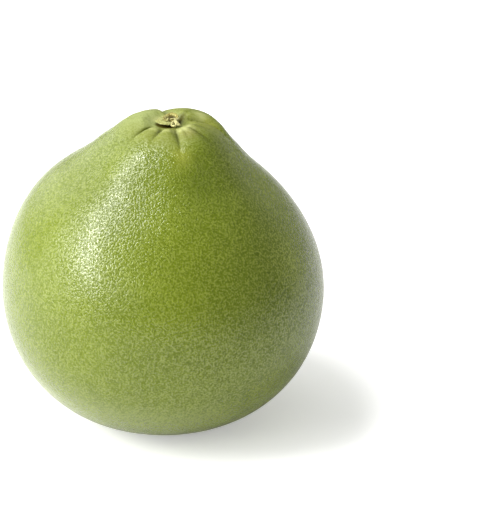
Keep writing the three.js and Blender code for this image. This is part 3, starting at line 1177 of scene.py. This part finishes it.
@dataclass
class StalkStub:
    """The broken stub of the stalk: a rough rim round a sunken end, broken lower at its front. Painted shade
    darkens its sunken end, its foot and its broken front.

    A row of the profile holds a radius and a height, and an edge holds the two ends of a smooth change.
    """

    calyx: Calyx
    slant: float = 0.75
    slant_edge: Span = (0.0, 0.6)
    front_wear: float = 0.85
    front_azimuth: float = math.radians(205)
    front_spread: float = 1.1
    front_edge: Span = (0.3, 1.2)
    profile: tuple[Span, ...] = (
        (0, 0.25), (1.5, 0.25), (2.1, 0.5), (2.6, 1.1), (3.1, 1.45), (3.6, 1.3), (3.75, 0.8), (3.5, 0.2),
        (3.4, 0), (0, 0))
    sides: Waves = ((1, 0.6, 180), (3, 0.14, 20), (7, 0.10, 10), (13, 0.08, 5))
    rim: Waves = ((2, 0.16, 70), (5, 0.14, 20), (9, 0.12, 8), (16, 0.08, 3))
    rim_edge: Span = (0.4, 1.2)
    tallest: float = 2.4
    # painted shade in the sunken end, at the foot and on the broken front
    sunken_edge: Span = (1.5, 2.5)
    foot: float = 0.2
    foot_shade: float = 0.4
    worn_shade: float = 0.6
    rough_over: float = 0.3
    segments: int = 120
    rings: int = 44

    def build(self) -> None:
        """Builds the stub on the calyx and dresses it."""
        azimuth = np.linspace(0, TURN, self.segments, endpoint=False)
        widest = max(row[0] for row in self.profile)
        at_front = bell(turn_between(self.front_azimuth, azimuth), 0, self.front_spread)
        rings, painted_shade, rough = [], [], []
        for radius, height in smooth_profile(self.profile, self.rings):
            share = radius / widest
            reach = radius + wavy(azimuth, self.sides) * share**3
            lift = wavy(azimuth, self.rim) * share**2 * smoothstep(height, *self.rim_edge)
            lift = lift + self.slant * share * np.sin(azimuth) * smoothstep(height, *self.slant_edge)
            worn_away = at_front * smoothstep(height, *self.front_edge)
            lift = lift - self.front_wear * share**2 * worn_away
            rings.append(ring(self.calyx.top, azimuth, reach, np.clip(height + lift, 0, self.tallest)))
            # painted shade in the sunken end and at the foot, and on the broken front
            sunken = 1 - smoothstep(radius, *self.sunken_edge) if height > self.foot else self.foot_shade
            painted_shade.append(np.maximum(sunken, self.worn_shade * worn_away))
            rough.append(np.full_like(azimuth, 1.0 if height > self.rough_over else 0.0))
        stub = ring_mesh("stalk_stub", rings, {"painted_shade": painted_shade, "pebbled": rough})
        apply_tree(stub, relief_tree("stub_tears"), {
            "Swell Pitch": 0.9, "Swell Depth": 0.4, "Pit Pitch": 0.8, "Pit Depth": 0.2, "Seed": 3.0,
            "Material": WOOD_FINISH.material()})
        place_piece(stub, Slot.DRY_WOOD, "stem_stub")


@dataclass(frozen=True)
class Strand:
    """A torn fibre: the points that it runs through, from its root, and its radius at the root and the tip.

    A point stands off the middle of the stub's foot.
    """

    points: tuple[Point, ...]
    root: float
    tip: float

    def path(self, steps: int = 8) -> np.ndarray:
        """Draws a smooth curve through the fibre's points.

        Args:
            steps: how many steps it takes from one of them to the next.

        Returns:
            Points along the curve, one row each.
        """
        given = np.asarray(self.points)
        padded = np.vstack([2 * given[0] - given[1], given, 2 * given[-1] - given[-2]])
        rows = []
        for before, start, end, after in zip(padded, padded[1:], padded[2:], padded[3:]):
            for share in np.arange(steps) / steps:
                bend = (2 * before - 5 * start + 4 * end - after) * share**2
                turn = (3 * start - before - 3 * end + after) * share**3
                rows.append(0.5 * (2 * start + (end - before) * share + bend + turn))
        return np.vstack([rows, given[-1]])


@dataclass(frozen=True)
class Splinters:
    """Short splinters that stand on the stub's rim. A span holds the least and the most of what is drawn."""

    count: int = 44
    seed: int = 5
    rim_radius: float = 3.3
    rim_height: float = 0.9
    sunk: float = 0.4
    turns: Span = (-0.2, 0.55)
    off_rim: Span = (-0.4, 0.2)
    length: Span = (0.3, 0.8)
    lean: float = 0.35
    bend: float = 0.06
    root: Span = (0.16, 0.32)
    tip: float = 0.06

    def one(self, draw: np.random.Generator) -> Strand:
        """Draws a splinter.

        Args:
            draw: where the random values come from.

        Returns:
            The splinter.
        """
        azimuth = draw.uniform(*self.turns) * TURN
        out = self.rim_radius + draw.uniform(*self.off_rim)
        length = draw.uniform(*self.length)
        lean = draw.normal(0, self.lean, 2)
        root = np.array([out * math.cos(azimuth), out * math.sin(azimuth), self.rim_height - self.sunk])
        tip = root + np.array([lean[0] * length, lean[1] * length, length])
        middle = (root + tip) / 2 + draw.normal(0, self.bend, 3)
        return Strand((tuple(root), tuple(middle), tuple(tip)), draw.uniform(*self.root), self.tip)

    def every(self) -> list[Strand]:
        """All of the splinters."""
        draw = np.random.default_rng(self.seed)
        return [self.one(draw) for _ in range(self.count)]


@dataclass
class StalkFibres:
    """The torn fibres that hang from the stub over the front of the calyx, and the splinters on its rim."""

    calyx: Calyx
    splinters: Splinters = Splinters()
    strands: tuple[Strand, ...] = (
        Strand(((3.1, -2.2, 0.6), (2.1, -4.1, 0.8), (1.1, -5.1, 0.6), (0.2, -6.0, 0.0), (-0.3, -7.0, -0.6)),
               0.65, 0.55),
        Strand(((1.2, -5.0, 0.6), (1.9, -6.1, 0.1), (2.0, -7.4, -0.4), (1.4, -8.1, -0.7), (0.4, -7.8, -0.8),
                (-0.3, -6.9, -0.7)), 0.60, 0.50),
        Strand(((1.8, -5.2, 0.6), (2.6, -6.2, 0.2), (3.3, -6.8, -0.3), (3.9, -7.1, -0.8)), 0.75, 0.45),
        Strand(((1.4, -7.4, -0.5), (2.2, -7.2, -0.5), (2.9, -7.2, -0.6), (3.6, -7.1, -0.7)), 0.60, 0.45),
        Strand(((-2.1, -3.2, 0.3), (-2.0, -3.4, 1.0), (-2.1, -3.3, 1.5)), 0.66, 0.58),
        Strand(((-0.9, -2.3, 0.3), (0.0, -1.9, 0.5), (1.2, -1.5, 0.5), (2.2, -1.6, 0.4)), 0.55, 0.45),
    )

    def build(self) -> None:
        """Builds every fibre as one piece and dresses it."""
        points, edges, thick = [], [], []
        for strand in (*self.strands, *self.splinters.every()):
            path = strand.path()
            first = len(thick)
            points.append(path + self.calyx.top)
            edges += [(first + k, first + k + 1) for k in range(len(path) - 1)]
            thick += np.linspace(strand.root, strand.tip, len(path)).tolist()
        fibres = mesh_object("stalk_fibres", np.vstack(points), [], {"thick": np.array(thick)}, edges)
        apply_tree(fibres, strand_tree("torn_fibres"), {"Seed": 11.0, "Material": FIBRE_FINISH.material()})
        place_piece(fibres, Slot.DRY_WOOD)


# --- the studio ---


@dataclass(frozen=True)
class Panel:
    """A soft rectangular light: its direction from the fruit and how far it is rolled, in degrees.

    Lengths are in millimetres and the power is in watts.
    """

    name: str
    azimuth: float
    elevation: float
    size: Span
    distance: float
    watts: float
    roll: float = 0.0
    colour: Colour = (1.0, 1.0, 1.0)

    def axes(self) -> tuple[Vector, Vector]:
        """Finds how the panel stands.

        Returns:
            The direction from the fruit to the panel, and the direction of the panel's height.
        """
        azimuth, elevation, roll = map(math.radians, (self.azimuth, self.elevation, self.roll))
        flat = Vector((math.cos(azimuth), math.sin(azimuth), 0))
        outward = flat * math.cos(elevation) + Vector((0, 0, math.sin(elevation)))
        upright = Vector((0, 0, math.cos(elevation))) - flat * math.sin(elevation)
        return outward, upright * math.cos(roll) + upright.cross(outward) * math.sin(roll)


@dataclass
class Studio:
    """A pale floor, soft lights and the camera.

    The camera and the panels stand round the middle of the fruit's widest level, at the target's height. It
    is seen at belly_pixel, counted from the image's top left corner.
    """

    image: tuple[int, int] = (503, 523)
    elevation: float = 25.0
    distance: float = 1200.0
    pixels_per_mm: float = 1.98125
    belly_pixel: Span = (163.9, 286.4)
    sensor: float = 36.0
    target: float = 68.8
    panels: tuple[Panel, ...] = (
        Panel("left", 186, 8, (1400, 1400), 1800, 15.8),
        Panel("left_high", 186, 42, (1100, 1100), 1800, 14.0),
        Panel("left_top", 200, 60, (900, 900), 1800, 13.6),
        Panel("left_front", 235, 25, (1100, 1100), 1800, 5.3),
        Panel("left_back", 132, 20, (1000, 900), 1700, 5.9),
        Panel("left_back_high", 135, 52, (900, 900), 1700, 4.2),
        Panel("right_back", 22, 4, (900, 900), 1800, 2.4, colour=(0.88, 1.0, 0.15)),
        Panel("back", 60, 15, (1100, 900), 1800, 1.0, colour=(0.88, 1.0, 0.15)),
        Panel("key_low", 217, 18.5, (280, 350), 1282, 4.1, -12.4),
        Panel("key_middle", 210, 33.3, (240, 350), 1204, 6.5, -14.2),
        Panel("key_high", 203.8, 49.2, (240, 350), 1226, 2.7, -18.3),
        Panel("key_top", 175.7, 72.7, (240, 350), 1531, 7.2, -43.5),
    )
    surround: float = 0.43
    surround_seen: float = 0.78
    floor_colour: Colour = (0.88, 0.88, 0.88)
    floor_roughness: float = 0.9
    floor_glow: float = 0.36
    floor_size: float = 6000.0

    def place(self, data: bpy.types.ID, direction: Vector, distance: float,
              turned: Matrix) -> bpy.types.Object:
        """Makes an object that stands off the target.

        Args:
            data: its lamp or its camera.
            direction: the way from the target to it.
            distance: how far away it is.
            turned: how it is turned.

        Returns:
            The linked object.
        """
        made = bpy.data.objects.new(data.name, data)
        middle = Vector((0, 0, self.target)) + direction * distance
        made.matrix_world = Matrix.Translation(middle * MM) @ turned.to_4x4()
        bpy.context.scene.collection.objects.link(made)
        return made

    def camera(self) -> None:
        """Makes the camera, looking down from the front, with the fruit left of the middle of its view."""
        angle = math.radians(self.elevation)
        back = Vector((0, -math.cos(angle), math.sin(angle)))
        focal = self.pixels_per_mm * self.distance
        data = bpy.data.cameras.new("camera")
        data.sensor_width = self.sensor
        data.lens = focal / max(self.image) * data.sensor_width
        pan = math.atan((self.image[0] / 2 - self.belly_pixel[0]) / focal)
        tip = math.atan((self.belly_pixel[1] - self.image[1] / 2) / focal)
        aimed = (-back).to_track_quat("-Z", "Y").to_matrix()
        aimed = aimed @ Matrix.Rotation(-pan, 3, "Y") @ Matrix.Rotation(tip, 3, "X")
        bpy.context.scene.camera = self.place(data, back, self.distance, aimed)

    def light(self, panel: Panel) -> None:
        """Makes a light that faces the fruit and isn't seen by the camera.

        Args:
            panel: what it is like.
        """
        data = bpy.data.lights.new(panel.name, "AREA")
        data.shape = "RECTANGLE"
        data.size, data.size_y = panel.size[0] * MM, panel.size[1] * MM
        data.energy = panel.watts
        data.color = panel.colour
        outward, along = panel.axes()
        turned = Matrix((along.cross(outward), along, outward)).transposed()
        self.place(data, outward, panel.distance, turned).visible_camera = False

    def floor(self) -> None:
        """Makes the plain pale floor, whose shadows are lifted a little where the camera sees them."""
        half = self.floor_size / 2
        corners = np.array([(-half, -half, 0), (half, -half, 0), (half, half, 0), (-half, half, 0)])
        made = mesh_object("floor", corners, [[0, 1, 2, 3]])
        material, tree = new_material("floor")
        tree.surface({
            "Base Color": rgba(self.floor_colour), "Roughness": self.floor_roughness,
            "Emission Color": WHITE, "Emission Strength": tree.times(tree.seen(), self.floor_glow)})
        made.data.materials.append(material)

    def build(self) -> None:
        """Makes the camera, the lights, the floor and the surround, which looks paler than it lights."""
        self.camera()
        for panel in self.panels:
            self.light(panel)
        self.floor()
        world = bpy.data.worlds.new("surround")
        world.use_nodes = True
        tree = Tree(world.node_tree)
        paler = self.surround_seen - self.surround
        strength = tree.math("MULTIPLY_ADD", tree.seen(), paler, self.surround)
        glow = tree.add("ShaderNodeBackground", {"Color": WHITE, "Strength": strength})
        tree.add("ShaderNodeOutputWorld", {"Surface": glow})
        bpy.context.scene.world = world
        bpy.context.scene.view_settings.view_transform = "Standard"


def main() -> None:
    """Builds the pomelo and the studio round it."""
    logging.basicConfig(level=logging.INFO, format="%(name)s: %(message)s")
    form = PomeloForm()
    Fruit(form).build()
    calyx = Calyx(form)
    calyx.build()
    StalkStub(calyx).build()
    StalkFibres(calyx).build()
    Studio().build()


if __name__ == "__main__":
    main()
